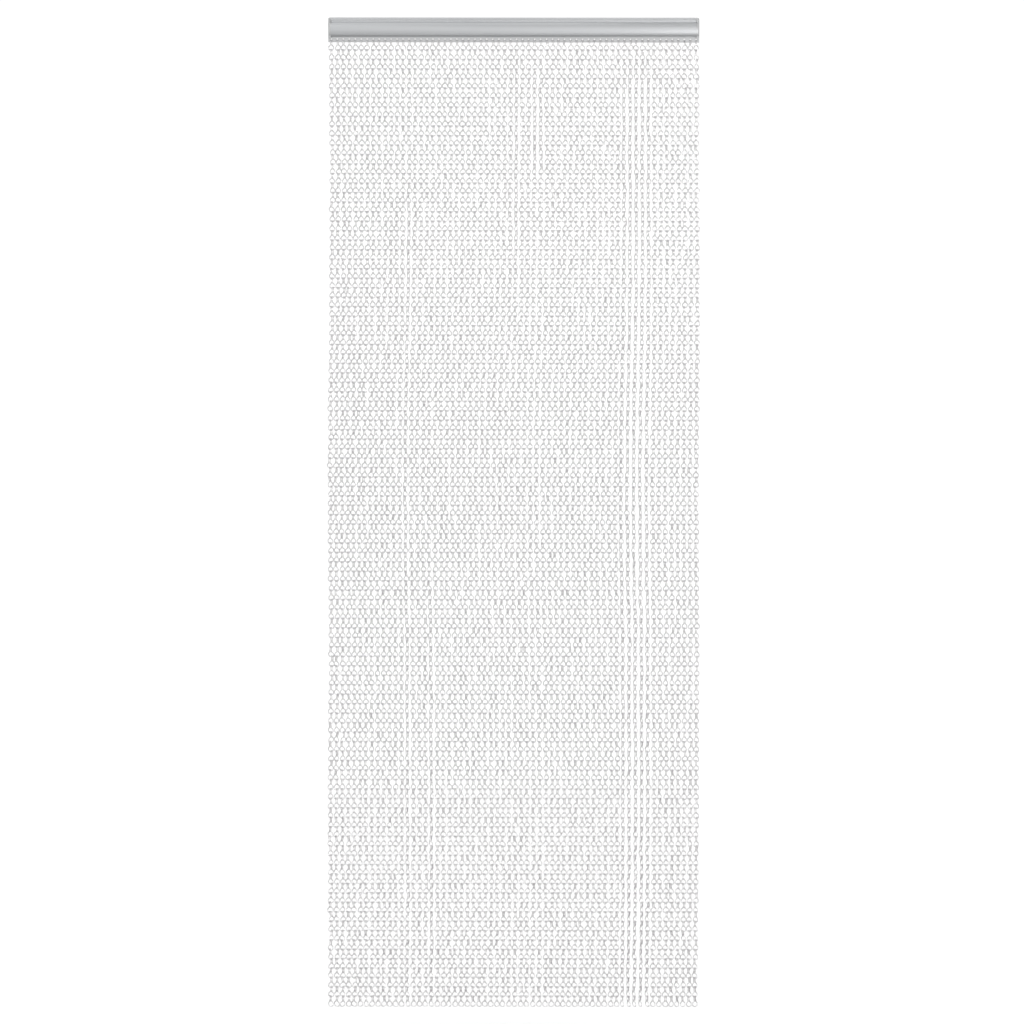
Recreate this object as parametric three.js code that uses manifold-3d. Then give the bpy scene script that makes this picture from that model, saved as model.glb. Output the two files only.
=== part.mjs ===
// Chain fly curtain: an aluminium wall rail with two end caps, and a hanger strip in the rail's slot
// from which 62 strands of bent-wire links hang side by side.
// Millimetres. +X is to the right, +Z is up and the front faces -Y. The origin is the centre of the
// rail's flat back, where it lies on the wall.

import * as THREE from 'three';
import { mergeVertices } from 'three/addons/utils/BufferGeometryUtils.js';
import Module from 'manifold-3d';

const wasm = await Module();
wasm.setup();

// Overall sizes
const width = 800;
const height = 2133;
const fit = 0.3; // between neighbouring pieces
const overlap = 1; // of the solids that are joined into one piece

// Rail section: depths are measured from the wall, heights from the middle of the back
const railTop = 20;
const railBottom = -20;
const wall = 1.6;
const round = 1.6;
const rib = { depth: 16, foot: 16.3 };
const notch = { depth: 15.6, height: 15.8 };
const bead = { depth: 16.4, top: 15, bottom: 12.9 };
const groove = { depth: 15.6, top: 11.4, bottom: 9.8, swell: 3, fall: 1.2 };
const nose = { depth: 22, top: -2.6, bottom: -9.5, rise: 6 };
const crease = { depth: 21.6, height: -10.7 };
const lip = { depth: 16.8, swell: 20.5, height: -17.4 };
const slot = { front: 12.4, back: 8.6 };
const curveSteps = 10;

// End caps
const capLength = 6;
const tongue = { front: 16.4, bottom: -24.5 };
const spigot = { length: 12, bottom: -15 };

// Hanger strip: a T head in the rail and a band that shows below it
const stripDepth = 10.5;
const stripThickness = 1.6;
const head = { depth: 7.8, height: 2.5 };
const stripDrop = 52.8; // from the rail's top to the strip's lower edge

// Strands: four-sided, with narrow roots where the first links hook through the strip
const strandCount = 62;
const strandPitch = 12.9;
const hangDrop = 49.7; // from the rail's top to the level at which the strands hang
const rootSink = 1.4; // how far a root reaches above that level into the strip
const fadeLength = 120; // over which a turned stretch of a strand begins and ends

// Half sizes of a strand at its narrow root, along its length and at its last link, each with how
// far that is below the hang level
const strandLength = height - hangDrop;
const body = { halfWidth: 5.15, halfDepth: 2.75 };
const rootSections = [
  { drop: -rootSink, halfWidth: 1.9, halfDepth: 1.9 },
  { drop: 6, halfWidth: 2.0, halfDepth: 2.2 },
  { drop: 18, ...body },
];
const endSections = [
  { drop: strandLength - 2, halfWidth: 5.15, halfDepth: 2.4 },
  { drop: strandLength, halfWidth: 3.4, halfDepth: 1 },
];

// Sideways bow of the curtain: how far strands at the left, middle and right lie from plumb
const bow = [
  { drop: 0, left: 0, middle: 0, right: 0 },
  { drop: 256, left: 3.1, middle: 1.6, right: 1.2 },
  { drop: 445, left: 2.7, middle: 0.8, right: 2.7 },
  { drop: 634, left: 1.7, middle: -1.9, right: 2.7 },
  { drop: 760, left: -0.3, middle: -6.4, right: 2.2 },
  { drop: 950, left: -1.0, middle: -8.1, right: 0.3 },
  { drop: 1139, left: 0.3, middle: -6.5, right: 1.2 },
  { drop: 1265, left: 1.9, middle: -2.6, right: 2.8 },
  { drop: 1391, left: 1.3, middle: -1.8, right: 1.7 },
  { drop: 1580, left: 0.1, middle: 0, right: 1.6 },
  { drop: 1850, left: 0.9, middle: 0.6, right: 0.5 },
  { drop: 2021, left: 1.9, middle: -0.8, right: -1.0 },
];

const settleDrop = 256; // by which a strand has reached its own place beside the others

// Uneven spacing: how far a strand lies from its even place once it is clear of the strip
const spacing = [
  { strand: 0, shift: 0 },
  { strand: 6, shift: -1.5 },
  { strand: 33, shift: -1.9 },
  { strand: 36, shift: -0.2 },
  { strand: 49, shift: -1.6 },
  { strand: 54, shift: 0.2 },
  { strand: 61, shift: 0 },
];

// Stretches of strands that hang turned about their own length, in degrees
const turned = [
  { strand: 13, top: 300, bottom: 2300, turn: -25 },
  { strand: 17, top: 1100, bottom: 2300, turn: -25 },
  { strand: 31, top: 20, bottom: 560, turn: -25 },
  { strand: 34, top: 20, bottom: 340, turn: -30 },
  { strand: 35, top: 20, bottom: 340, turn: -30 },
  { strand: 49, top: 0, bottom: 2300, turn: -20 },
  { strand: 50, top: 0, bottom: 2300, turn: -25 },
  { strand: 51, top: 0, bottom: 2300, turn: -30 },
  { strand: 52, top: 0, bottom: 2300, turn: -30 },
  { strand: 53, top: 0, bottom: 2300, turn: -25 },
];

// Colours and finishes
const railFinish = { color: 0xbcbec0, metalness: 0.9, roughness: 0.38 };
const capFinish = { color: 0xa9abad, metalness: 0.1, roughness: 0.5 };
const chainFinish = { color: 0xdcdee0, metalness: 0.9, roughness: 0.3 };

// A section drawn as (y, z) is swept along X
const alongX = new THREE.Matrix4().makeBasis(
  new THREE.Vector3(0, 1, 0),
  new THREE.Vector3(0, 0, 1),
  new THREE.Vector3(1, 0, 0),
);

function sweepAlongX(section, from, to) {
  const geometry = new THREE.ExtrudeGeometry(section, {
    depth: to - from,
    steps: 1,
    bevelEnabled: false,
    curveSegments: curveSteps,
  });
  geometry.applyMatrix4(alongX);
  geometry.translate(from, 0, 0);
  return geometry;
}

// A rectangle in the section plane, by its two depths and two heights
function rectangle(frontDepth, backDepth, bottom, top) {
  const section = new THREE.Shape();
  section.moveTo(-frontDepth, bottom);
  section.lineTo(-backDepth, bottom);
  section.lineTo(-backDepth, top);
  section.lineTo(-frontDepth, top);
  section.closePath();
  return section;
}

// Booleans
function toSolid(geometry) {
  const bare = geometry.clone();
  bare.deleteAttribute('normal');
  bare.deleteAttribute('uv');
  const welded = mergeVertices(bare, 1e-5);
  return new wasm.Manifold(new wasm.Mesh({
    numProp: 3,
    vertProperties: new Float32Array(welded.attributes.position.array),
    triVerts: new Uint32Array(welded.index.array),
  }));
}

function join(geometries) {
  let whole = toSolid(geometries[0]);
  for (const geometry of geometries.slice(1)) {
    whole = whole.add(toSolid(geometry));
  }
  const mesh = whole.getMesh();
  const joined = new THREE.BufferGeometry();
  joined.setAttribute('position', new THREE.BufferAttribute(new Float32Array(mesh.vertProperties), 3));
  joined.setIndex(new THREE.BufferAttribute(new Uint32Array(mesh.triVerts), 1));
  joined.computeVertexNormals();
  return joined;
}

// The rail's outer outline from the top of its back, over the front, to the foot of its lip
function drawFront(section) {
  section.moveTo(0, railTop);
  section.lineTo(-rib.depth + round, railTop);
  section.quadraticCurveTo(-rib.depth, railTop, -rib.depth, railTop - round);
  section.lineTo(-rib.depth, rib.foot);
  section.lineTo(-notch.depth, notch.height);
  section.lineTo(-bead.depth, bead.top);
  section.lineTo(-bead.depth, bead.bottom);
  section.lineTo(-groove.depth, groove.top);
  section.lineTo(-groove.depth, groove.bottom);
  section.bezierCurveTo(
    -groove.depth - groove.swell, groove.bottom - groove.fall,
    -nose.depth, nose.top + nose.rise,
    -nose.depth, nose.top,
  );
  section.lineTo(-nose.depth, nose.bottom);
  section.lineTo(-crease.depth, crease.height);
  section.quadraticCurveTo(-lip.swell, lip.height, -lip.depth, railBottom);
}

// The rail's hollow, from the front edge of its slot, up and over, to the slot's back edge
function drawHollow(section) {
  const ledge = railBottom + wall;
  section.lineTo(-slot.front, railBottom);
  section.lineTo(-slot.front, ledge);
  section.lineTo(-lip.depth + wall / 2, ledge);
  section.quadraticCurveTo(
    -lip.swell + wall, lip.height + wall / 2,
    -crease.depth + wall, crease.height,
  );
  section.lineTo(-nose.depth + wall, nose.bottom);
  section.lineTo(-nose.depth + wall, nose.top);
  section.bezierCurveTo(
    -nose.depth + wall, nose.top + nose.rise,
    -groove.depth - groove.swell + wall, groove.bottom - groove.fall - wall,
    -groove.depth + wall, groove.bottom - wall / 2,
  );
  section.lineTo(-groove.depth + wall, groove.top);
  section.lineTo(-rib.depth + wall, rib.foot);
  section.lineTo(-rib.depth + wall, railTop - wall);
  section.lineTo(-wall, railTop - wall);
  section.lineTo(-wall, ledge);
  section.lineTo(-slot.back, ledge);
  section.lineTo(-slot.back, railBottom);
}

function railGeometry() {
  const section = new THREE.Shape();
  drawFront(section);
  drawHollow(section);
  section.lineTo(0, railBottom);
  section.closePath();
  const half = width / 2 - capLength - fit;
  return sweepAlongX(section, -half, half);
}

// side is -1 for the left cap and 1 for the right one
function capGeometry(side) {
  const plate = new THREE.Shape();
  drawFront(plate);
  plate.lineTo(-tongue.front, railBottom);
  plate.lineTo(-tongue.front, tongue.bottom);
  plate.lineTo(-stripDepth - stripThickness / 2 - fit, tongue.bottom);
  plate.lineTo(-stripDepth - stripThickness / 2 - fit, railBottom);
  plate.lineTo(0, railBottom);
  plate.closePath();
  const inner = side * (width / 2 - capLength);
  const outer = side * (width / 2);
  const plateSolid = sweepAlongX(plate, Math.min(inner, outer), Math.max(inner, outer));

  const block = rectangle(groove.depth - wall - fit, wall + fit, spigot.bottom, railTop - wall - fit);
  const tip = inner - side * spigot.length;
  const root = inner + side * capLength / 2;
  const spigotSolid = sweepAlongX(block, Math.min(tip, root), Math.max(tip, root));
  return join([plateSolid, spigotSolid]);
}

// The strip's parts: head in the rail, web through the slot, band below the rail
function stripGeometries() {
  const half = width / 2;
  const innerHalf = half - capLength - 2 * fit;
  const front = stripDepth + stripThickness / 2;
  const back = stripDepth - stripThickness / 2;
  const headBottom = railBottom + wall + fit;
  const headTop = headBottom + head.height;
  const bandTop = railBottom - fit;
  const bandBottom = railTop - stripDrop;
  const headSection = rectangle(
    stripDepth + head.depth / 2,
    stripDepth - head.depth / 2,
    headBottom,
    headTop,
  );
  const webSection = rectangle(front, back, bandTop - overlap, headTop - overlap);
  const bandSection = rectangle(front, back, bandBottom, bandTop);
  return [
    sweepAlongX(headSection, -innerHalf, innerHalf),
    sweepAlongX(webSection, -innerHalf, innerHalf),
    sweepAlongX(bandSection, -half, half),
  ];
}

// The value of one column of a table at a place between its rows
function readTable(table, key, place, column) {
  const last = table.length - 1;
  if (place <= table[0][key]) return table[0][column];
  if (place >= table[last][key]) return table[last][column];
  const next = table.findIndex((row) => row[key] > place);
  const before = table[next - 1];
  const after = table[next];
  const share = (place - before[key]) / (after[key] - before[key]);
  return before[column] + share * (after[column] - before[column]);
}

// How far a strand lies beside its even place at a level
function strandDrift(strand, drop) {
  const across = strand / (strandCount - 1);
  const left = readTable(bow, 'drop', drop, 'left');
  const middle = readTable(bow, 'drop', drop, 'middle');
  const right = readTable(bow, 'drop', drop, 'right');
  const chord = left + (right - left) * across;
  const sag = middle - (left + right) / 2;
  const bowed = chord + sag * 4 * across * (1 - across);
  const clear = THREE.MathUtils.smoothstep(drop, 0, settleDrop);
  return bowed + clear * readTable(spacing, 'strand', strand, 'shift');
}

// How far a strand is turned about its length at a level, in radians
function strandTurn(strand, drop) {
  let turn = 0;
  for (const stretch of turned) {
    if (stretch.strand === strand) {
      const begun = THREE.MathUtils.smoothstep(drop, stretch.top, stretch.top + fadeLength);
      const ended = THREE.MathUtils.smoothstep(drop, stretch.bottom - fadeLength, stretch.bottom);
      turn += stretch.turn * begun * (1 - ended);
    }
  }
  return THREE.MathUtils.degToRad(turn);
}

function strandGeometry(strand) {
  const evenPlace = (strand - (strandCount - 1) / 2) * strandPitch;
  const sides = 4;
  const places = [];
  const bodySections = bow.slice(1).map((row) => ({ drop: row.drop, ...body }));
  const sections = [...rootSections, ...bodySections, ...endSections];
  for (const row of sections) {
    const middle = evenPlace + strandDrift(strand, row.drop);
    const level = railTop - hangDrop - row.drop;
    const turn = strandTurn(strand, row.drop);
    const cos = Math.cos(turn);
    const sin = Math.sin(turn);
    places.push(middle + row.halfWidth * cos, -stripDepth + row.halfWidth * sin, level);
    places.push(middle - row.halfDepth * sin, -stripDepth + row.halfDepth * cos, level);
    places.push(middle - row.halfWidth * cos, -stripDepth - row.halfWidth * sin, level);
    places.push(middle + row.halfDepth * sin, -stripDepth - row.halfDepth * cos, level);
  }
  const faces = [];
  const rings = sections.length;
  for (let ring = 0; ring < rings - 1; ring += 1) {
    for (let side = 0; side < sides; side += 1) {
      const upper = ring * sides + side;
      const upperNext = ring * sides + (side + 1) % sides;
      const lower = upper + sides;
      const lowerNext = upperNext + sides;
      faces.push(upper, lower, lowerNext, upper, lowerNext, upperNext);
    }
  }
  const bottom = (rings - 1) * sides;
  faces.push(0, 1, 2, 0, 2, 3);
  faces.push(bottom, bottom + 2, bottom + 1, bottom, bottom + 3, bottom + 2);
  const geometry = new THREE.BufferGeometry();
  geometry.setAttribute('position', new THREE.Float32BufferAttribute(places, 3));
  geometry.setIndex(faces);
  return geometry;
}

function curtainGeometry() {
  const pieces = stripGeometries();
  for (let strand = 0; strand < strandCount; strand += 1) {
    pieces.push(strandGeometry(strand));
  }
  return join(pieces);
}

function addPiece(group, name, geometry, finish) {
  const piece = new THREE.Mesh(geometry, new THREE.MeshStandardMaterial(finish));
  piece.name = name;
  group.add(piece);
}

const flyCurtain = new THREE.Group();
addPiece(flyCurtain, 'rail', railGeometry(), railFinish);
addPiece(flyCurtain, 'end_cap_left', capGeometry(-1), capFinish);
addPiece(flyCurtain, 'end_cap_right', capGeometry(1), capFinish);
addPiece(flyCurtain, 'chain_curtain', curtainGeometry(), chainFinish);

export default flyCurtain;
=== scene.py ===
"""Chain fly curtain on its aluminium wall rail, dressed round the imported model.

62 strands of bent-wire links hang from a punched strip in the rail's slot. The front faces -Y, +Z
is up and the rail's back lies at y = 0. The object's sizes are in millimetres and become metres at
MM. The card, the lamps and the floor's side are in metres.
"""

import math

import bmesh
import bpy
import numpy as np
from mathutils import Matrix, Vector


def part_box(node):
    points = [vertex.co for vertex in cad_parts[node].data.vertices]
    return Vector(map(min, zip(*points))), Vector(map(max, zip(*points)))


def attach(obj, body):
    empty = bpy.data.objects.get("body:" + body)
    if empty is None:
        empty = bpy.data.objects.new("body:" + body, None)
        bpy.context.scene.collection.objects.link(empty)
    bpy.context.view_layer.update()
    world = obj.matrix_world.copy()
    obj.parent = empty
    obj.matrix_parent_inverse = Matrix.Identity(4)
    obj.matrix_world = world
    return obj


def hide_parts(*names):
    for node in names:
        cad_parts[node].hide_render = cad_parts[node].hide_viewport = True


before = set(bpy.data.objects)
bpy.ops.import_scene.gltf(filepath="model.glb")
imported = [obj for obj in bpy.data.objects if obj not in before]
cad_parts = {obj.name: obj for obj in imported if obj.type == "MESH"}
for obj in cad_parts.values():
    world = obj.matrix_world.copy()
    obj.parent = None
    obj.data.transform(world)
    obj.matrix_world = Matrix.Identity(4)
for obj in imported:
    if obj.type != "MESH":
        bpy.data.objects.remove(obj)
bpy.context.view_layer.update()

MM = 0.001
SEED = 41

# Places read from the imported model
RAIL_LOW, RAIL_HIGH = (Vector(corner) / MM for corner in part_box("rail"))
CAP_HIGH = Vector(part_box("end_cap_right")[1]) / MM
CURTAIN_LOW = Vector(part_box("chain_curtain")[0]) / MM
HALF_WIDTH = CAP_HIGH.x
RAIL_HALF = RAIL_HIGH.x
RAIL_TOP = RAIL_HIGH.z
RAIL_BOTTOM = RAIL_LOW.z
RAIL_DEPTH = -RAIL_LOW.y

# Space between neighbouring pieces
FIT = 0.3
# The least divisor, how near a point has to be to an edge to lie on it, and to another to be welded
TINY, TOUCH, WELD = 1e-6, 1e-4, 1e-3

# How many stretches a curve, a bend, a rounded corner, the lip and the rail's length are made of
CURVE_STEPS, BEND_STEPS, CORNER_STEPS, LIP_STEPS, RAIL_STEPS = 14, 5, 3, 8, 8
# The radius of the rail's corners, and the most of a side that any rounded corner takes up
SOFT_RADIUS, SIDE_SHARE = 0.35, 0.4
# Edges that turn by more degrees than this stay sharp
SMOOTH_ANGLE, CAP_SMOOTH_ANGLE = 30, 40

# Rail section, as in the model: depths from the wall, heights from the middle of the back
WALL = 1.6
EDGE, EDGE_STRAIGHT = 1.6, 0.5
RIB_DEPTH, RIB_FOOT = 16, 16.3
NOTCH_DEPTH, NOTCH_HEIGHT = 15.6, 15.8
BEAD_DEPTH, BEAD_TOP, BEAD_BOTTOM = 16.4, 15, 12.9
GROOVE_DEPTH, GROOVE_TOP, GROOVE_BOTTOM = 15.6, 11.4, 9.8
GROOVE_SWELL, GROOVE_FALL = 3, 1.2
NOSE_TOP, NOSE_BOTTOM, NOSE_RISE = -2.6, -9.5, 6
CREASE_DEPTH, CREASE_HEIGHT = 21.6, -10.7
LIP_DEPTH, LIP_SWELL, LIP_HEIGHT = 16.8, 20.5, -17.4
SLOT_FRONT, SLOT_BACK = 12.4, 8.6

# End caps: the plate covers most of its fit to the rail. Its outer end is rounded off, by half as
# much in height as in depth. The spigot starts inside the plate.
CAP_LENGTH = 6
CAP_INNER = HALF_WIDTH - CAP_LENGTH
PLATE_REACH = 0.25
CAP_ROUND, CAP_ROUND_STEPS, CAP_ROUND_HEIGHT = 4.8, 6, 0.5
TONGUE_FRONT, TONGUE_BOTTOM = 16.4, -24.5
SPIGOT_LENGTH, SPIGOT_BOTTOM, SPIGOT_ROUND, SPIGOT_SINK = 12, -15, 0.8, 1

# Hanger strip
STRIP_DEPTH, STRIP_THICKNESS = 10.5, 1.6
STRIP_FRONT = -STRIP_DEPTH - STRIP_THICKNESS / 2
STRIP_BACK = -STRIP_DEPTH + STRIP_THICKNESS / 2
STRIP_DROP = 52.8
STRIP_FOOT = RAIL_TOP - STRIP_DROP
HEAD_DEPTH, HEAD_HEIGHT, HEAD_ROUND = 7.8, 2.5, 0.6
WEB_ROUND, WEB_IN_BAND, WEB_IN_HEAD = 0.1, 0.5, 1
HOLE_RADIUS, HOLE_HEIGHT, HOLE_SIDES = 2.0, -26.9, 16
CELL_TOP, CELL_BOTTOM = -23.9, -31.7
STRIP_GROOVE, STRIP_GROOVE_HALF, STRIP_GROOVE_DEPTH = -22.7, 0.4, 0.07
SHOULDER_DEPTH, SHOULDER_HEIGHT = 0.9, 1.2
EDGE_SLOPE, EDGE_ROUND = 0.25, 0.5

# Strands and links, and how far below the rail's top the first hooks hang in the strip's holes
STRANDS, STRAND_PITCH = 62, 12.9
LINKS, LINK_PITCH = 102, 20.405
HANG_DROP = 47.6
STRANDS_PER_PIECE = 8

# A four-sided wire, measured to its corners: it looks as wide as a round one of 1.7 mm. Where it
# bends, its corners are set wider, within a limit.
WIRE_RADIUS = 0.95
WIRE_SIDES = 4
MOST_WIDENING = 1.25

# The right half of a link's wire, from its rounded foot, up one leg, through the waist and neck,
# over the link above and down to its tip: x, y, z and painted light. The wire is painted darkest at
# the waist, where the wires meet in shade, and darker down the legs and where it wraps the link
# above, as painted shade; it is painted lightest along the straight neck and hook, as a painted
# highlight.
HALF_LINK = [
    (1.5, 0.0, -2.5, 0.85),
    (4.3, 0.0, -0.8, 0.68),
    (5.2, 0.0, 2.5, 0.65),
    (4.5, -0.3, 6.0, 0.48),
    (1.3, -1.0, 8.8, 0.36),
    (1.5, -1.9, 12.6, 0.85),
    (1.5, -1.9, 17.7, 0.85),
    (1.5, 0.2, 20.5, 0.7),
    (1.5, 1.9, 17.7, 0.9),
    (1.5, 1.2, 10.0, 0.9),
]

# Sideways bow: how far strands at the left, middle and right lie from plumb
BOW_DROP = (0, 256, 445, 634, 760, 950, 1139, 1265, 1391, 1580, 1850, 2021)
BOW_LEFT = (0, 3.1, 2.7, 1.7, -0.3, -1.0, 0.3, 1.9, 1.3, 0.1, 0.9, 1.9)
BOW_MIDDLE = (0, 1.6, 0.8, -1.9, -6.4, -8.1, -6.5, -2.6, -1.8, 0, 0.6, -0.8)
BOW_RIGHT = (0, 1.2, 2.7, 2.7, 2.2, 0.3, 1.2, 2.8, 1.7, 1.6, 0.5, -1.0)

# How far the links hang below their even places
STRETCH_DROP = (0, 130, 340, 540, 950, 1250, 1770, 1960, 2060)
STRETCH = (0, 0.7, 2.0, 3.0, 3.1, 2.0, 2.5, 1.6, 0.2)

# Uneven spacing: how far a strand, counted from 0, lies from its even place once it has settled
SPACING_STRAND = (0, 6, 33, 36, 49, 54, 61)
SPACING_SHIFT = (0, -1.5, -1.9, -0.2, -1.6, 0.2, 0)
SETTLE_DROP = 256

# Stretches of strands that hang turned, fading in and out over FADE: the strand, counted from 0,
# the stretch's top and bottom, the turn in degrees and the hooks' slide along their bars
TURNED = [
    (13, 300, 2300, -40, -1.2),
    (17, 1100, 2300, -40, -1.2),
    (31, 20, 560, -40, -1.4),
    (34, 20, 340, -50, -1.6),
    (35, 20, 340, -45, -1.6),
    (49, 0, 2300, -35, -1.2),
    (50, 0, 2300, -45, -1.6),
    (51, 0, 2300, -50, -1.8),
    (52, 0, 2300, -50, -1.8),
    (53, 0, 2300, -40, -1.4),
]
FADE = 120

# How unevenly links hang, as standard deviations: degrees, millimetres and shares
TURN_WALK, WALK_KEPT, TURN_JITTER = 2.5, 0.85, 8.0
SLIDE_JITTER, MOST_SLIDE = 1.2, 2.4
PLACE_JITTER, DEPTH_JITTER = 0.5, 0.25
BOW_JITTER, WIDTH_JITTER = 0.8, 0.05
LINK_TONE_JITTER = 0.05

# The two tones that each surface varies between
RAIL_TONES = (0.555, 0.565, 0.577), (0.585, 0.595, 0.606)
CAP_TONES = (0.47, 0.475, 0.48), (0.51, 0.515, 0.52)
STRIP_TONES = (0.51, 0.516, 0.522), (0.61, 0.616, 0.622)
# The chain's two tones are mixed by painted light: painted shade at the waist and where each link
# wraps the one above, and a painted highlight along the neck
CHAIN_TONES = (0.5, 0.493, 0.499), (0.89, 0.879, 0.888)
FLOOR_TONES = (0.865, 0.865, 0.865), (0.875, 0.875, 0.875)
# Most of a noise's values lie between these
NOISE_LOW, NOISE_HIGH = 0.3, 0.7

# Camera: a front view, framed as the photograph and as slightly out of level, in millimetres and
# degrees, and how far it sees in metres
FRAME_PIXELS = 1024
PIXEL = 2.1563
LENS, SENSOR = 120, 36
FRAME_CENTRE = (-2.8, -1045.6)
CAMERA_ROLL = -0.055
CLIP_END = 100

# Floor: millimetres below the lowest link, and its side in metres
FLOOR_DROP = 100
FLOOR_SIDE = 14

# The card over the rail's right end
CARD_PLACE = (0.58, -0.2, 0.3)
CARD_SIZE = (0.7, 0.5)
CARD_TONE = (0.68, 0.68, 0.68)

# The studio's brightness by height: the sine of the height above the horizon, and the brightness
STUDIO = [
    (-1, 0.5),
    (-0.5, 0.57),
    (-0.26, 0.84),
    (-0.17, 1),
    (0.17, 1),
    (0.34, 0.75),
    (0.6, 0.64),
    (1, 1),
]
STUDIO_STRENGTH = 1.06

# The sun overhead: its place, strength and width in degrees
SUN_PLACE, SUN_STRENGTH, SUN_WIDTH = (0, 0, 3), 1.2, 50

# The glows before the curtain: name, place, what it faces, watts, width and height
GLOWS = [
    ("left_glow", (-0.9, -1.3, 0.9), (-0.3, 0, 0), 2, 0.6, 0.6),
    ("right_glow", (1.0, -1.5, -0.5), (0.35, 0, 0), 6, 0.8, 0.3),
    ("low_glow", (-0.3, -1.8, -2.3), (0, 0, -1.8), 4, 1.2, 0.3),
]


# Materials


def new_material(name, metallic):
    """A material and its shader."""
    material = bpy.data.materials.new(name)
    material.use_nodes = True
    shader = material.node_tree.nodes["Principled BSDF"]
    shader.inputs["Metallic"].default_value = metallic
    return material, shader


def add_noise(material, stretch, scale, detail=4.0):
    nodes = material.node_tree.nodes
    links = material.node_tree.links
    place = nodes.new("ShaderNodeTexCoord")
    mapping = nodes.new("ShaderNodeMapping")
    mapping.inputs["Scale"].default_value = stretch
    noise = nodes.new("ShaderNodeTexNoise")
    noise.inputs["Scale"].default_value = scale
    noise.inputs["Detail"].default_value = detail
    links.new(place.outputs["Object"], mapping.inputs["Vector"])
    links.new(mapping.outputs[0], noise.inputs["Vector"])
    return noise.outputs["Fac"]


def add_range(material, noise, low, high):
    """The noise spread out, so that most of it goes from low to high."""
    spread = material.node_tree.nodes.new("ShaderNodeMapRange")
    spread.inputs["From Min"].default_value = NOISE_LOW
    spread.inputs["From Max"].default_value = NOISE_HIGH
    spread.inputs["To Min"].default_value = low
    spread.inputs["To Max"].default_value = high
    material.node_tree.links.new(noise, spread.inputs["Value"])
    return spread.outputs["Result"]


def add_colour(material, shader, factor, tones):
    """Lets the factor mix the shader's colour from two tones."""
    links = material.node_tree.links
    mix = material.node_tree.nodes.new("ShaderNodeMix")
    mix.data_type = "RGBA"
    for socket, tone in zip("AB", tones, strict=True):
        mix.inputs[socket].default_value = (*tone, 1)
    links.new(factor, mix.inputs["Factor"])
    links.new(mix.outputs["Result"], shader.inputs["Base Color"])


def add_grain(material, shader, noise, roughness, depth, strength):
    """Lets one noise vary both the roughness and the relief, whose depth is in metres."""
    links = material.node_tree.links
    links.new(add_range(material, noise, *roughness), shader.inputs["Roughness"])
    bump = material.node_tree.nodes.new("ShaderNodeBump")
    bump.inputs["Strength"].default_value = strength
    bump.inputs["Distance"].default_value = depth
    links.new(noise, bump.inputs["Height"])
    links.new(bump.outputs[0], shader.inputs["Normal"])


def rail_material():
    material, shader = new_material("rail_aluminium", metallic=1.0)
    clouds = add_noise(material, stretch=(1.5, 30, 30), scale=2.0)
    add_colour(material, shader, add_range(material, clouds, low=0, high=1), RAIL_TONES)
    lines = add_noise(material, stretch=(1, 220, 220), scale=12.0, detail=6.0)
    add_grain(material, shader, lines, roughness=(0.38, 0.5), depth=0.00003, strength=0.5)
    return material


def cap_material():
    material, shader = new_material("cap_plastic", metallic=0.6)
    clouds = add_noise(material, stretch=(1, 1, 1), scale=60.0)
    add_colour(material, shader, add_range(material, clouds, low=0, high=1), CAP_TONES)
    grain = add_noise(material, stretch=(1, 1, 1), scale=900.0, detail=3.0)
    add_grain(material, shader, grain, roughness=(0.32, 0.44), depth=0.00006, strength=0.6)
    return material


def strip_material():
    material, shader = new_material("strip_aluminium", metallic=1.0)
    lines = add_noise(material, stretch=(1, 160, 160), scale=10.0, detail=5.0)
    add_colour(material, shader, add_range(material, lines, low=0, high=1), STRIP_TONES)
    add_grain(material, shader, lines, roughness=(0.3, 0.46), depth=0.00003, strength=0.5)
    return material


def chain_material():
    material, shader = new_material("chain_aluminium", metallic=1.0)
    # Painted shade and highlight along each wire, plus each link's random tone, pick the chain's
    # colour
    painted_light_and_tone = material.node_tree.nodes.new("ShaderNodeAttribute")
    painted_light_and_tone.attribute_name = "painted_light_and_tone"
    add_colour(material, shader, painted_light_and_tone.outputs["Fac"], CHAIN_TONES)
    drawn = add_noise(material, stretch=(1, 1, 1), scale=700.0, detail=3.0)
    add_grain(material, shader, drawn, roughness=(0.12, 0.26), depth=0.00005, strength=0.4)
    return material


def floor_material():
    material, shader = new_material("floor_paint", metallic=0.0)
    shader.inputs["Roughness"].default_value = 0.7
    shader.inputs["Specular IOR Level"].default_value = 0.2
    clouds = add_noise(material, stretch=(1, 1, 1), scale=3.0)
    add_colour(material, shader, clouds, FLOOR_TONES)
    return material


def card_material():
    material, shader = new_material("card_paint", metallic=0.0)
    shader.inputs["Base Color"].default_value = (*CARD_TONE, 1)
    shader.inputs["Roughness"].default_value = 0.9
    return material


# Camera, floor and light


def make_camera():
    distance = FRAME_PIXELS * PIXEL * LENS / SENSOR
    data = bpy.data.cameras.new("camera")
    data.lens = LENS
    data.sensor_width = SENSOR
    data.clip_end = CLIP_END
    camera = bpy.data.objects.new("camera", data)
    bpy.context.scene.collection.objects.link(camera)
    camera.location = (
        FRAME_CENTRE[0] * MM,
        -(distance + STRIP_DEPTH) * MM,
        FRAME_CENTRE[1] * MM,
    )
    camera.rotation_euler = (math.radians(90), math.radians(CAMERA_ROLL), 0)
    bpy.context.scene.camera = camera


def add_plane(name, size, place, material):
    bpy.ops.mesh.primitive_plane_add(size=size, location=place)
    plane = bpy.context.object
    plane.name = name
    plane.data.materials.append(material)
    return plane


def make_floor():
    height = (CURTAIN_LOW.z - FLOOR_DROP) * MM
    floor = add_plane("floor", FLOOR_SIDE, (0, 0, height), floor_material())
    floor.visible_glossy = False


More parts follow.
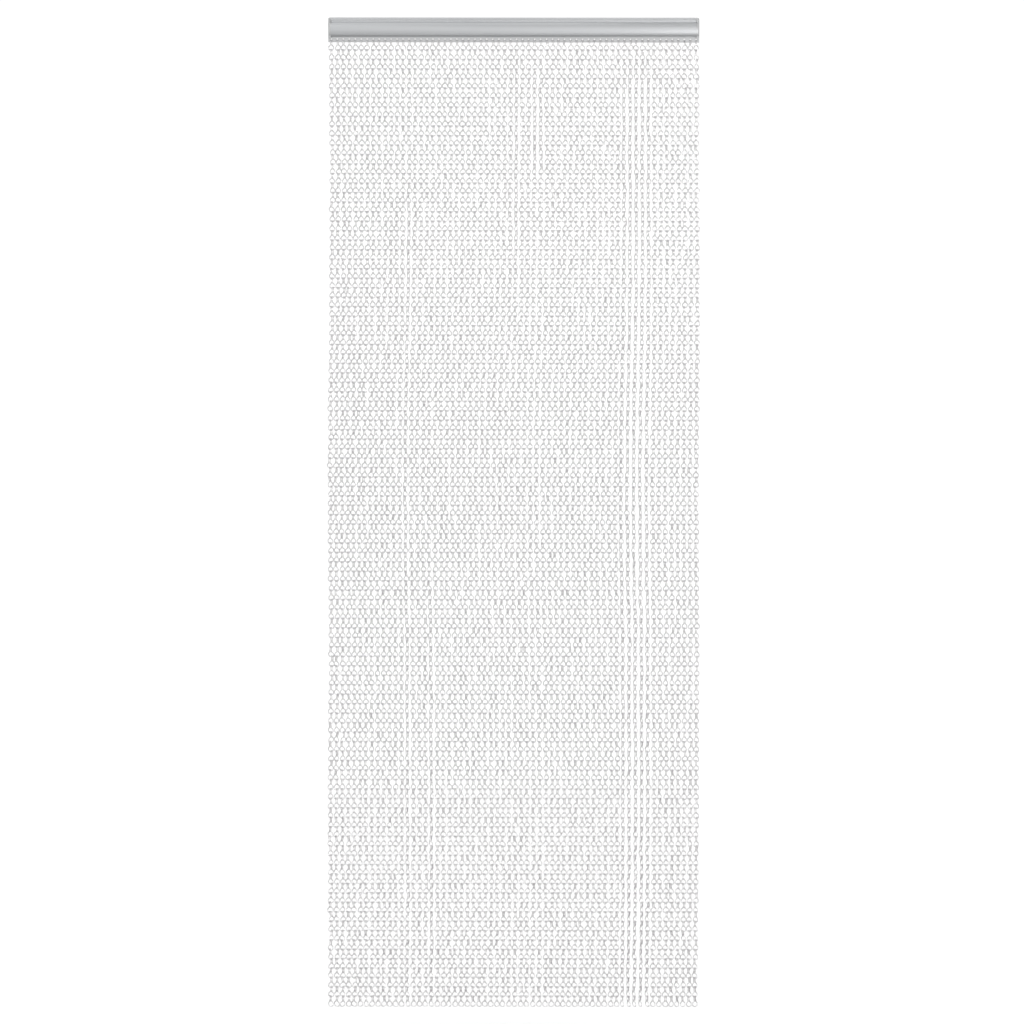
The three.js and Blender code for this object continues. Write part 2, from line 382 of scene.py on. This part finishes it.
def make_card():
    """A pale card over the rail's right end that only mirrors see: it dims faces that look up."""
    card = add_plane("card", 1, CARD_PLACE, card_material())
    card.scale = (*CARD_SIZE, 1)
    card.visible_camera = False
    card.visible_diffuse = False
    card.visible_shadow = False


def set_stops(stops):
    """Sets a ramp's stops from the studio's table, whose heights go from -1 to 1."""
    for height, _ in STUDIO[1:-1]:
        stops.new((height + 1) / 2)
    for stop, (height, value) in zip(stops, STUDIO, strict=True):
        stop.position = (height + 1) / 2
        stop.color = (value, value, value, 1)


def make_world():
    world = bpy.data.worlds.new("studio")
    bpy.context.scene.world = world
    world.use_nodes = True
    nodes = world.node_tree.nodes
    links = world.node_tree.links
    nodes.clear()
    output = nodes.new("ShaderNodeOutputWorld")
    background = nodes.new("ShaderNodeBackground")
    background.inputs["Strength"].default_value = STUDIO_STRENGTH
    direction = nodes.new("ShaderNodeTexCoord")
    split = nodes.new("ShaderNodeSeparateXYZ")
    lift = nodes.new("ShaderNodeMapRange")
    lift.inputs["From Min"].default_value = -1
    lift.inputs["From Max"].default_value = 1
    ramp = nodes.new("ShaderNodeValToRGB")
    set_stops(ramp.color_ramp.elements)
    links.new(direction.outputs["Generated"], split.inputs[0])
    links.new(split.outputs["Z"], lift.inputs["Value"])
    links.new(lift.outputs["Result"], ramp.inputs[0])
    links.new(ramp.outputs[0], background.inputs["Color"])
    links.new(background.outputs[0], output.inputs[0])


def add_lamp(name, kind, place, target, strength):
    data = bpy.data.lights.new(name, kind)
    data.energy = strength
    lamp = bpy.data.objects.new(name, data)
    bpy.context.scene.collection.objects.link(lamp)
    lamp.location = place
    aim = Vector(target) - Vector(place)
    lamp.rotation_euler = aim.to_track_quat("-Z", "Y").to_euler()
    lamp.visible_camera = False
    return lamp


def make_lamps():
    overhead = add_lamp("overhead", "SUN", SUN_PLACE, (0, 0, 0), SUN_STRENGTH)
    overhead.data.angle = math.radians(SUN_WIDTH)
    overhead.visible_glossy = False
    for name, place, target, strength, width, height in GLOWS:
        glow = add_lamp(name, "AREA", place, target, strength)
        glow.data.shape = "RECTANGLE"
        glow.data.size = width
        glow.data.size_y = height


# Outlines


def curve_points(start, handle_a, handle_b, end, steps=CURVE_STEPS):
    """Points on a cubic curve after its start."""
    corners = (start, handle_a, handle_b, end)
    points = []
    for step in range(1, steps + 1):
        t = step / steps
        weights = ((1 - t) ** 3, 3 * t * (1 - t) ** 2, 3 * t * t * (1 - t), t**3)
        point = (sum(w * c[i] for w, c in zip(weights, corners, strict=True)) for i in (0, 1))
        points.append(tuple(point))
    return points


def bend_points(start, handle, end, steps=BEND_STEPS):
    """Points on a quadratic curve after its start."""
    handles = []
    for side in (start, end):
        handles.append(tuple(s + 2 / 3 * (h - s) for s, h in zip(side, handle, strict=True)))
    return curve_points(start, *handles, end, steps)


def corner_points(before, corner, after, radius):
    """Points that round off a corner between its two neighbours."""
    back = Vector(before) - Vector(corner)
    ahead = Vector(after) - Vector(corner)
    start = Vector(corner) + back.normalized() * min(radius, back.length * SIDE_SHARE)
    end = Vector(corner) + ahead.normalized() * min(radius, ahead.length * SIDE_SHARE)
    return [tuple(start), *bend_points(tuple(start), corner, tuple(end), CORNER_STEPS)]


def soft_corners(points, radius):
    """The run of points with each corner between its ends rounded off."""
    outline = []
    for before, corner, after in zip(points, points[1:], points[2:]):
        outline += corner_points(before, corner, after, radius)
    return outline


def box_outline(front, back, bottom, top, radius):
    """A closed box as (y, z) with rounded corners, from its depths and heights."""
    corners = [(-front, bottom), (-back, bottom), (-back, top), (-front, top)]
    return soft_corners([corners[-1], *corners, corners[0]], radius)


def front_outline():
    """The rail's outer front as (y, z), from the top of its back to the foot of its lip."""
    rib_side = -RIB_DEPTH
    straight = (rib_side, RAIL_TOP - EDGE - EDGE_STRAIGHT)
    groove_foot = (-GROOVE_DEPTH, GROOVE_BOTTOM)
    points = [(0, RAIL_TOP), (rib_side + EDGE, RAIL_TOP)]
    points += bend_points(points[-1], (rib_side, RAIL_TOP), (rib_side, RAIL_TOP - EDGE))
    relief = [
        straight,
        (rib_side, RIB_FOOT),
        (-NOTCH_DEPTH, NOTCH_HEIGHT),
        (-BEAD_DEPTH, BEAD_TOP),
        (-BEAD_DEPTH, BEAD_BOTTOM),
        (-GROOVE_DEPTH, GROOVE_TOP),
        groove_foot,
    ]
    points += [straight, *soft_corners(relief, SOFT_RADIUS), groove_foot]
    points += curve_points(
        groove_foot,
        (-GROOVE_DEPTH - GROOVE_SWELL, GROOVE_BOTTOM - GROOVE_FALL),
        (-RAIL_DEPTH, NOSE_TOP + NOSE_RISE),
        (-RAIL_DEPTH, NOSE_TOP),
    )
    points += [(-RAIL_DEPTH, NOSE_BOTTOM), (-CREASE_DEPTH, CREASE_HEIGHT)]
    points += bend_points(
        points[-1],
        (-LIP_SWELL, LIP_HEIGHT),
        (-LIP_DEPTH, RAIL_BOTTOM),
        LIP_STEPS,
    )
    return points


def hollow_outline():
    """The rail's hollow as (y, z), from its slot's front edge to the back edge and the wall."""
    ledge = RAIL_BOTTOM + WALL
    points = [
        (-SLOT_FRONT, RAIL_BOTTOM),
        (-SLOT_FRONT, ledge),
        (-LIP_DEPTH + WALL / 2, ledge),
    ]
    points += bend_points(
        points[-1],
        (-LIP_SWELL + WALL, LIP_HEIGHT + WALL / 2),
        (-CREASE_DEPTH + WALL, CREASE_HEIGHT),
    )
    points += [(-RAIL_DEPTH + WALL, NOSE_BOTTOM), (-RAIL_DEPTH + WALL, NOSE_TOP)]
    points += curve_points(
        points[-1],
        (-RAIL_DEPTH + WALL, NOSE_TOP + NOSE_RISE),
        (-GROOVE_DEPTH - GROOVE_SWELL + WALL, GROOVE_BOTTOM - GROOVE_FALL - WALL),
        (-GROOVE_DEPTH + WALL, GROOVE_BOTTOM - WALL / 2),
    )
    points += [
        (-GROOVE_DEPTH + WALL, GROOVE_TOP),
        (-RIB_DEPTH + WALL, RIB_FOOT),
        (-RIB_DEPTH + WALL, RAIL_TOP - WALL),
        (-WALL, RAIL_TOP - WALL),
        (-WALL, ledge),
        (-SLOT_BACK, ledge),
        (-SLOT_BACK, RAIL_BOTTOM),
        (0, RAIL_BOTTOM),
    ]
    return points


def band_outline(top):
    """The band above its holes as (y, z), with a shallow rolled groove along its front."""
    return [
        (STRIP_BACK, CELL_TOP),
        (STRIP_BACK, top),
        (STRIP_FRONT + SHOULDER_DEPTH, top),
        (STRIP_FRONT, top - SHOULDER_HEIGHT),
        (STRIP_FRONT, STRIP_GROOVE + STRIP_GROOVE_HALF),
        (STRIP_FRONT + STRIP_GROOVE_DEPTH, STRIP_GROOVE),
        (STRIP_FRONT, STRIP_GROOVE - STRIP_GROOVE_HALF),
        (STRIP_FRONT, CELL_TOP),
    ]


def edge_outline():
    """The band's lower edge as (y, z), drawn in towards its foot."""
    return [
        (STRIP_BACK, CELL_BOTTOM),
        (STRIP_FRONT, CELL_BOTTOM),
        (STRIP_FRONT + EDGE_SLOPE, STRIP_FOOT + EDGE_ROUND),
        (STRIP_FRONT + EDGE_SLOPE + EDGE_ROUND, STRIP_FOOT),
        (STRIP_BACK, STRIP_FOOT),
    ]


# Meshes


def add_piece(name, mesh, material, node):
    piece = bpy.data.objects.new(name, mesh)
    bpy.context.scene.collection.objects.link(piece)
    mesh.materials.append(material)
    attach(piece, "root")
    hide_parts(node)


def mesh_from_shape(name, shape, smooth_angle=SMOOTH_ANGLE):
    bmesh.ops.recalc_face_normals(shape, faces=shape.faces)
    for vertex in shape.verts:
        vertex.co *= MM
    mesh = bpy.data.meshes.new(name)
    shape.to_mesh(mesh)
    shape.free()
    mesh.polygons.foreach_set("use_smooth", [True] * len(mesh.polygons))
    mesh.set_sharp_from_angle(angle=math.radians(smooth_angle))
    return mesh


def mesh_from_arrays(name, vertices, faces):
    mesh = bpy.data.meshes.new(name)
    mesh.vertices.add(len(vertices))
    mesh.vertices.foreach_set("co", vertices.astype(np.float32).ravel())
    mesh.loops.add(faces.size)
    mesh.loops.foreach_set("vertex_index", faces.astype(np.int32).ravel())
    mesh.polygons.add(len(faces))
    starts = np.arange(0, faces.size, faces.shape[1], dtype=np.int32)
    mesh.polygons.foreach_set("loop_start", starts)
    mesh.polygons.foreach_set("use_smooth", np.ones(len(faces), bool))
    mesh.update(calc_edges=True)
    mesh.validate()
    return mesh


def add_walls(shape, first, second):
    """Joins two loops of as many vertices by faces of four corners."""
    for index in range(len(first)):
        after = (index + 1) % len(first)
        shape.faces.new((first[index], first[after], second[after], second[index]))


def loft(shape, rings):
    """Adds a closed body through rings of as many points each."""
    loops = [[shape.verts.new(point) for point in ring] for ring in rings]
    for loop, after in zip(loops, loops[1:]):
        add_walls(shape, loop, after)
    for loop in (loops[0], loops[-1]):
        bmesh.ops.triangulate(shape, faces=[shape.faces.new(loop)])


def sweep(shape, outline, start, end, steps=1):
    """Adds the closed (y, z) outline swept along X as a closed body."""
    rings = []
    for step in range(steps + 1):
        x = start + (end - start) * step / steps
        rings.append([(x, y, z) for y, z in outline])
    loft(shape, rings)


# Rail and caps


def make_rail(material):
    shape = bmesh.new()
    sweep(shape, front_outline() + hollow_outline(), -RAIL_HALF, RAIL_HALF, RAIL_STEPS)
    mesh = mesh_from_shape("rail_profile", shape)
    add_piece("rail_profile", mesh, material, "rail")


def plate_rings(side, outline):
    """The cap's plate as rings of points, from its inner face to its rounded outer end."""
    rings = [[(side * (CAP_INNER - PLATE_REACH), y, z) for y, z in outline]]
    for step in range(CAP_ROUND_STEPS + 1):
        angle = math.pi / 2 * step / CAP_ROUND_STEPS
        x = side * (HALF_WIDTH - CAP_ROUND * (1 - math.sin(angle)))
        inset = CAP_ROUND * (1 - math.cos(angle))
        depth_share = 1 - inset / RAIL_DEPTH
        height_share = 1 - CAP_ROUND_HEIGHT * inset / RAIL_TOP
        rings.append([(x, y * depth_share, z * height_share) for y, z in outline])
    return rings


def make_cap(name, side, material):
    """A cap: its plate with a rounded end, its tongue before the strip, and its spigot."""
    tongue_back = STRIP_FRONT - FIT
    outline = [
        *front_outline(),
        (-TONGUE_FRONT, RAIL_BOTTOM),
        (-TONGUE_FRONT, TONGUE_BOTTOM),
        (tongue_back, TONGUE_BOTTOM),
        (tongue_back, RAIL_BOTTOM),
        (0, RAIL_BOTTOM),
    ]
    spigot = box_outline(
        GROOVE_DEPTH - WALL - FIT,
        WALL + FIT,
        SPIGOT_BOTTOM,
        RAIL_TOP - WALL - FIT,
        SPIGOT_ROUND,
    )
    shape = bmesh.new()
    loft(shape, plate_rings(side, outline))
    sweep(shape, spigot, side * (CAP_INNER - SPIGOT_LENGTH), side * (CAP_INNER + SPIGOT_SINK))
    piece_name = name + "_moulding"
    mesh = mesh_from_shape(piece_name, shape, CAP_SMOOTH_ANGLE)
    add_piece(piece_name, mesh, material, name)


# Hanger strip


def strand_place(strand):
    return (strand - (STRANDS - 1) / 2) * STRAND_PITCH


def hole_directions():
    """The even directions from a hole's middle to its corners, as (x, z)."""
    for index in range(HOLE_SIDES):
        angle = 2 * math.pi * index / HOLE_SIDES
        yield math.cos(angle), math.sin(angle)


def cell_rim(left, right, middle):
    """Points on a cell's rectangle as seen from its hole at even angles, its corners included."""
    points = []
    for index, (along_x, along_z) in enumerate(hole_directions()):
        end = right if along_x > 0 else left
        level = CELL_TOP if along_z > 0 else CELL_BOTTOM
        diagonal = index % (HOLE_SIDES // 4) == HOLE_SIDES // 8
        if diagonal:
            points.append((end, level))
            continue
        reach_x = abs(end - middle) / max(abs(along_x), TINY)
        reach_z = abs(level - HOLE_HEIGHT) / max(abs(along_z), TINY)
        reach = min(reach_x, reach_z)
        points.append((middle + along_x * reach, HOLE_HEIGHT + along_z * reach))
    return points


def on_cell_edge(first, second):
    """Whether two neighbouring points of a rim both lie on the band's top, foot or outer end."""
    points = (first, second)
    at_top = all(z > CELL_TOP - TOUCH for _, z in points)
    at_foot = all(z < CELL_BOTTOM + TOUCH for _, z in points)
    at_end = all(abs(x) > HALF_WIDTH - TOUCH for x, _ in points)
    return at_top or at_foot or at_end


def add_strip_cell(shape, left, right, middle):
    """One stretch of the band with its hole: two faces, the hole's wall and the band's edges."""
    rim = cell_rim(left, right, middle)
    hole = [(middle + HOLE_RADIUS * x, HOLE_HEIGHT + HOLE_RADIUS * z) for x, z in hole_directions()]
    places = ((STRIP_FRONT, hole), (STRIP_FRONT, rim), (STRIP_BACK, hole), (STRIP_BACK, rim))
    loops = [[shape.verts.new((x, y, z)) for x, z in outline] for y, outline in places]
    front_hole, front_rim, back_hole, back_rim = loops
    add_walls(shape, front_hole, front_rim)
    add_walls(shape, back_rim, back_hole)
    add_walls(shape, back_hole, front_hole)
    for index in range(HOLE_SIDES):
        after = (index + 1) % HOLE_SIDES
        if on_cell_edge(rim[index], rim[after]):
            corners = (front_rim[index], front_rim[after], back_rim[after], back_rim[index])
            shape.faces.new(corners)


def add_band_cells(shape):
    """The stretch of the band with a hole for each strand."""
    for strand in range(STRANDS):
        middle = strand_place(strand)
        left = -HALF_WIDTH if strand == 0 else middle - STRAND_PITCH / 2
        right = HALF_WIDTH if strand == STRANDS - 1 else middle + STRAND_PITCH / 2
        add_strip_cell(shape, left, right, middle)
    bmesh.ops.remove_doubles(shape, verts=shape.verts, dist=WELD)


def make_strip(material):
    """The strip: its head in the rail, the web through the slot, and the band below."""
    band_top = RAIL_BOTTOM - FIT
    head_bottom = RAIL_BOTTOM + WALL + FIT
    head = box_outline(
        STRIP_DEPTH + HEAD_DEPTH / 2,
        STRIP_DEPTH - HEAD_DEPTH / 2,
        head_bottom,
        head_bottom + HEAD_HEIGHT,
        HEAD_ROUND,
    )
    web = box_outline(
        -STRIP_FRONT,
        -STRIP_BACK,
        band_top - WEB_IN_BAND,
        head_bottom + WEB_IN_HEAD,
        WEB_ROUND,
    )
    inner_half = CAP_INNER - 2 * FIT
    shape = bmesh.new()
    add_band_cells(shape)
    for outline in (head, web):
        sweep(shape, outline, -inner_half, inner_half)
    for outline in (band_outline(band_top), edge_outline()):
        sweep(shape, outline, -HALF_WIDTH, HALF_WIDTH)
    mesh = mesh_from_shape("hanger_strip", shape)
    add_piece("hanger_strip", mesh, material, "chain_curtain")


# Chains


def smoothstep(value, start, end):
    """A soft rise from 0 at start to 1 at end."""
    share = np.clip((value - start) / (end - start), 0, 1)
    return share * share * (3 - 2 * share)


def unit_rows(rows):
    return rows / np.linalg.norm(rows, axis=1)[:, None]


def tube_rings(points):
    """The wire's corners round each point, set wider where it bends so that it keeps its width."""
    steps = unit_rows(np.diff(points, axis=0))
    tangents = np.vstack([steps[:1], steps[:-1] + steps[1:], steps[-1:]])
    widening = np.ones(len(points))
    widening[1:-1] = 2 / np.linalg.norm(tangents[1:-1], axis=1)
    widening = np.minimum(widening, MOST_WIDENING)
    normal = np.cross(steps[0], (1.0, 0.0, 0.0))
    corners = []
    for tangent, widen in zip(unit_rows(tangents), widening, strict=True):
        normal -= tangent * normal.dot(tangent)
        normal /= np.linalg.norm(normal)
        side = np.cross(tangent, normal)
        for index in range(WIRE_SIDES):
            angle = 2 * math.pi * index / WIRE_SIDES
            direction = normal * math.cos(angle) + side * math.sin(angle)
            corners.append(direction * WIRE_RADIUS * widen)
    return np.repeat(points, WIRE_SIDES, axis=0) + np.array(corners)


def tube_faces(rings):
    """The faces of a closed tube of four sides, its two ends last."""
    faces = []
    for low in range(0, (rings - 1) * WIRE_SIDES, WIRE_SIDES):
        high = low + WIRE_SIDES
        for index in range(WIRE_SIDES):
            after = (index + 1) % WIRE_SIDES
            faces.append((low + index, low + after, high + after, high + index))
    last = (rings - 1) * WIRE_SIDES
    faces.append(tuple(reversed(range(WIRE_SIDES))))
    faces.append(tuple(range(last, last + WIRE_SIDES)))
    return np.array(faces)


def link_shape():
    """A link's vertices, its faces and each vertex's painted shade and highlight."""
    right = [row[:3] for row in HALF_LINK]
    left = [(-x, y, z) for x, y, z in reversed(right)]
    points = np.array(left + right)
    painted_light_and_tone = [row[3] for row in HALF_LINK]
    return tube_rings(points), tube_faces(len(points)), np.repeat(painted_light_and_tone[::-1] + painted_light_and_tone, WIRE_SIDES)


def strand_drift(strand, drops):
    """How far to the right of its even place a strand lies, at each drop below its hook."""
    across = strand / (STRANDS - 1)
    left = np.interp(drops, BOW_DROP, BOW_LEFT)
    middle = np.interp(drops, BOW_DROP, BOW_MIDDLE)
    right = np.interp(drops, BOW_DROP, BOW_RIGHT)
    chord = left + (right - left) * across
    sag = middle - (left + right) / 2
    arch = 4 * across * (1 - across)
    settled = smoothstep(drops, 0, SETTLE_DROP)
    shift = settled * np.interp(strand, SPACING_STRAND, SPACING_SHIFT)
    return chord + sag * arch + shift


def strand_turn(strand, drops):
    """How far a strand's links are turned, in degrees, and their hooks lie off centre, in mm."""
    turn = np.zeros_like(drops)
    slide = np.zeros_like(drops)
    for at, top, bottom, most_turn, most_slide in TURNED:
        if at == strand:
            rise = smoothstep(drops, top, top + FADE)
            share = rise * (1 - smoothstep(drops, bottom - FADE, bottom))
            turn += share * most_turn
            slide += share * most_slide
    return turn, slide


def strand_bars(strand, drops, rng):
    """The places of a strand's bars: the strip's hole, and then each link's foot."""
    x = strand_place(strand) + strand_drift(strand, drops)
    y = np.full(LINKS + 1, -STRIP_DEPTH)
    z = RAIL_TOP - HANG_DROP - drops - np.interp(drops, STRETCH_DROP, STRETCH)
    x[1:] += rng.normal(0, PLACE_JITTER, LINKS)
    y[1:] += rng.normal(0, DEPTH_JITTER, LINKS)
    return np.stack([x, y, z], axis=1)


def link_turns(strand, drops, rng):
    """How far each link is turned, in radians, and how far its hook lies off its bar's middle."""
    turn, slide = strand_turn(strand, drops)
    walk = rng.normal(0, TURN_WALK, LINKS)
    for index in range(1, LINKS):
        walk[index] += walk[index - 1] * WALK_KEPT
    turn += walk + rng.normal(0, TURN_JITTER, LINKS)
    slide = np.clip(slide + rng.normal(0, SLIDE_JITTER, LINKS), -MOST_SLIDE, MOST_SLIDE)
    slide[0] = 0
    return np.radians(turn), slide


def link_axes(bars, turn, slide):
    """Each link's axes, across, in depth and up, as it hangs a little off its bar's middle."""
    hooks = bars[:-1].copy()
    hooks[1:, 0] += slide[1:] * np.cos(turn[:-1])
    hooks[1:, 1] += slide[1:] * np.sin(turn[:-1])
    up = unit_rows(hooks - bars[1:])
    across = unit_rows(np.cross((0.0, 1.0, 0.0), up))
    return across, np.cross(up, across), up


def strand_vertices(strand, rng, link):
    """A strand's vertices, a row for each link, and how much duller or brighter each link is."""
    drops = np.arange(LINKS + 1) * LINK_PITCH
    bars = strand_bars(strand, drops, rng)
    turn, slide = link_turns(strand, drops[1:], rng)
    across, depth, up = link_axes(bars, turn, slide)

    # No two links are bent quite alike
    bowed = rng.normal(0, BOW_JITTER, LINKS)[:, None]
    widened = rng.normal(1, WIDTH_JITTER, LINKS)[:, None]
    x, y, z = link.T
    x = x * widened + bowed * np.sin(np.pi * z / LINK_PITCH)
    cos, sin = np.cos(turn)[:, None], np.sin(turn)[:, None]
    turned_x = x * cos - y * sin
    turned_y = x * sin + y * cos
    vertices = (
        bars[1:, None]
        + turned_x[..., None] * across[:, None]
        + turned_y[..., None] * depth[:, None]
        + z[:, None] * up[:, None]
    )
    return vertices, rng.normal(0, LINK_TONE_JITTER, LINKS)


def make_chains(material):
    link, link_faces, link_painted_light = link_shape()
    rng = np.random.default_rng(SEED)
    for first in range(0, STRANDS, STRANDS_PER_PIECE):
        strands = range(first, min(first + STRANDS_PER_PIECE, STRANDS))
        vertices = []
        painted_light_and_tone = []
        for strand in strands:
            places, tone_offset = strand_vertices(strand, rng, link)
            vertices.append(places.reshape(-1, 3))
            # Each link's random tone is added to the painted shade and highlight along its wire
            painted_light_and_tone.append((tone_offset[:, None] + link_painted_light).ravel())
        starts = np.arange(len(strands) * LINKS) * len(link)
        faces = (link_faces + starts[:, None, None]).reshape(-1, WIRE_SIDES)
        name = f"chains_{first + 1:02d}_to_{strands[-1] + 1:02d}"
        mesh = mesh_from_arrays(name, np.concatenate(vertices) * MM, faces)
        shares = np.clip(np.concatenate(painted_light_and_tone), 0, 1).astype(np.float32)
        mesh.attributes.new("painted_light_and_tone", "FLOAT", "POINT").data.foreach_set("value", shares)
        add_piece(name, mesh, material, "chain_curtain")


bpy.context.scene.view_settings.view_transform = "Standard"
make_camera()
make_floor()
make_card()
make_world()
make_lamps()
make_rail(rail_material())
plastic = cap_material()
make_cap("end_cap_left", -1, plastic)
make_cap("end_cap_right", 1, plastic)
make_strip(strip_material())
make_chains(chain_material())
